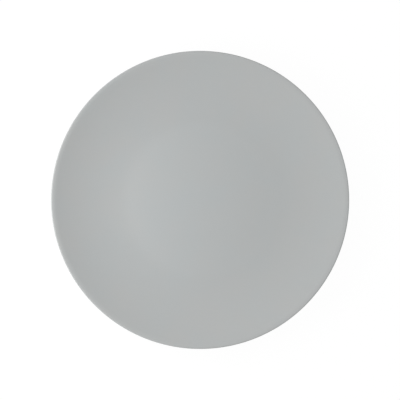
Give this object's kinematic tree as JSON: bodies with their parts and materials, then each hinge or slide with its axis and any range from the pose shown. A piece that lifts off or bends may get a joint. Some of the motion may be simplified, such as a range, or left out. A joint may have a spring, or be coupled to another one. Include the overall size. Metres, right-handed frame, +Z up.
{
  "type": "coupe dinner plate",
  "caption": "Round coupe dinner plate with a flat well, a wall that curves up to a rounded lip, and a bare foot ring under a matt grey glaze.",
  "frame": {"origin": "centre of the foot ring's contact plane, on the plate's axis", "axes": "+Z up along the plate's axis of revolution, out of the well; X and Y lie in the table plane"},
  "size_m": [0.27, 0.27, 0.025],
  "materials": {
    "matt_glaze": "matte",
    "bare_clay": "matte"
  },
  "bodies": {
    "root": {"clay_body": "bare_clay", "glaze_coat": "matt_glaze", "recess_glaze": "matt_glaze"}
  },
  "joints": []
}
